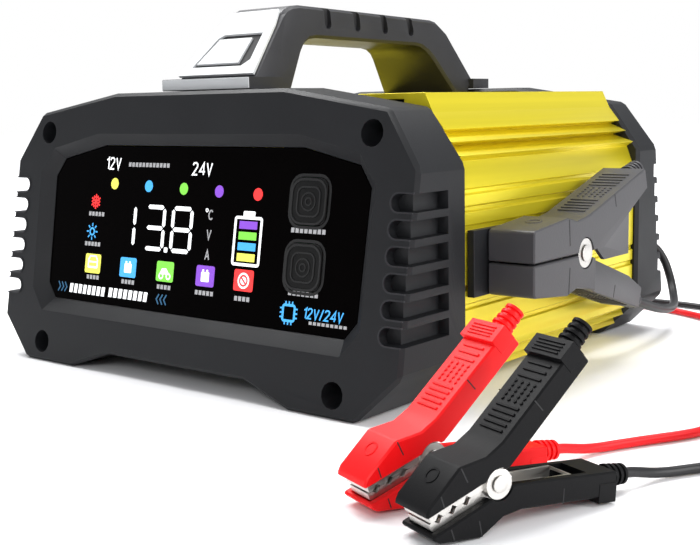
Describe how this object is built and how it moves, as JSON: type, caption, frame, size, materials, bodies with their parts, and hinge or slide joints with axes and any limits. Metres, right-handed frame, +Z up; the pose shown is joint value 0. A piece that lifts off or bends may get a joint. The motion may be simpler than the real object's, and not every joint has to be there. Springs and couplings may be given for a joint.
{
  "type": "car battery charger",
  "caption": "Portable car battery charger: ribbed yellow aluminium case, dark moulded end caps, carrying handle, glass display with push buttons, fan, and spring clamps on leads.",
  "frame": {"origin": "on the floor under the middle of the charger's body, its handle and both docks; the clamps and leads aren't counted", "axes": "+Z up, -Y towards the person facing the display, +X to that person's right, the side the clamps are on"},
  "size_m": [0.3695, 0.3453, 0.1477],
  "materials": {
    "charcoal": "satin",
    "yellow_anodised": "satin anodised",
    "display_black": "gloss",
    "key_black": "gloss",
    "board_green": "solder mask",
    "chip_black": "matt",
    "core": "matt",
    "steel": "zinc plated",
    "silver": "nickel plated",
    "aluminium": "extruded",
    "rubber": "matt",
    "red": "satin",
    "black": "satin",
    "sleeve": "satin",
    "red_lead": "satin",
    "black_lead": "satin"
  },
  "bodies": {
    "charger": {"ac_inlet": "chip_black", "bezel_screw_1": "steel", "bezel_screw_2": "steel", "bezel_screw_3": "steel", "bezel_screw_4": "steel", "black_gland": "rubber", "black_lead": "black_lead", "black_lead_coil": "black_lead", "black_lead_tail": "black_lead", "black_lower_jaw": "silver", "black_lower_shell": "black", "black_rivet": "silver", "black_spring": "steel", "display_board": "board_green", "display_lens": "display_black", "display_module": "chip_black", "fan_frame": "chip_black", "fan_guard": "steel", "filter_capacitor": "sleeve", "front_bezel": "charcoal", "handle": "charcoal", "handle_screw_1": "steel", "handle_screw_2": "steel", "heat_sink": "aluminium", "housing": "yellow_anodised", "left_dock": "charcoal", "left_dock_screw": "steel", "parked_gland": "rubber", "parked_lead": "black_lead", "parked_lower_jaw": "silver", "parked_lower_shell": "charcoal", "parked_rivet": "silver", "parked_spring": "steel", "power_board": "board_green", "power_transistors": "chip_black", "rear_cap": "charcoal", "rear_screw_1": "steel", "rear_screw_2": "steel", "rear_screw_3": "steel", "rear_screw_4": "steel", "red_gland": "rubber", "red_lead": "red_lead", "red_lead_coil": "red_lead", "red_lead_tail": "red_lead", "red_lower_jaw": "silver", "red_lower_shell": "red", "red_rivet": "silver", "red_spring": "steel", "right_dock": "charcoal", "right_dock_screw": "steel", "transformer": "core"},
    "current_button": {"current_button": "key_black"},
    "function_button": {"function_button": "key_black"},
    "fan_rotor": {"fan_rotor": "chip_black"},
    "red_clamp_upper": {"red_upper_shell": "red", "red_upper_jaw": "silver"},
    "black_clamp_upper": {"black_upper_shell": "black", "black_upper_jaw": "silver"},
    "parked_clamp_upper": {"parked_upper_shell": "charcoal", "parked_upper_jaw": "silver"}
  },
  "joints": [
    {"name": "current_button_press", "type": "slide", "parent": "charger", "child": "current_button", "axis": [0, 0.9849, -0.173], "range_m": [0, 0.0012], "stiffness_N_per_m": 400},
    {"name": "function_button_press", "type": "slide", "parent": "charger", "child": "function_button", "axis": [0, 0.9849, -0.173], "range_m": [0, 0.0012], "stiffness_N_per_m": 400},
    {"name": "fan_spin", "type": "hinge", "parent": "charger", "child": "fan_rotor", "pos_m": [0, 0.09843, 0.06], "axis": [0, 0.9894, 0.1454], "continuous": true},
    {"name": "red_clamp_open", "type": "hinge", "parent": "charger", "child": "red_clamp_upper", "pos_m": [0.151, -0.1511, 0.01281], "axis": [-0.9397, 0.342, 0], "range_deg": [0, 28], "stiffness_Nm_per_rad": 0.8},
    {"name": "black_clamp_open", "type": "hinge", "parent": "charger", "child": "black_clamp_upper", "pos_m": [0.1767, -0.1597, 0.01281], "axis": [-0.9397, 0.342, 0], "range_deg": [0, 28], "stiffness_Nm_per_rad": 0.8},
    {"name": "parked_clamp_open", "type": "hinge", "parent": "charger", "child": "parked_clamp_upper", "pos_m": [0.121, -0.0134, 0.0505], "axis": [-1, 0, 0], "range_deg": [0, 16], "stiffness_Nm_per_rad": 1.2}
  ]
}
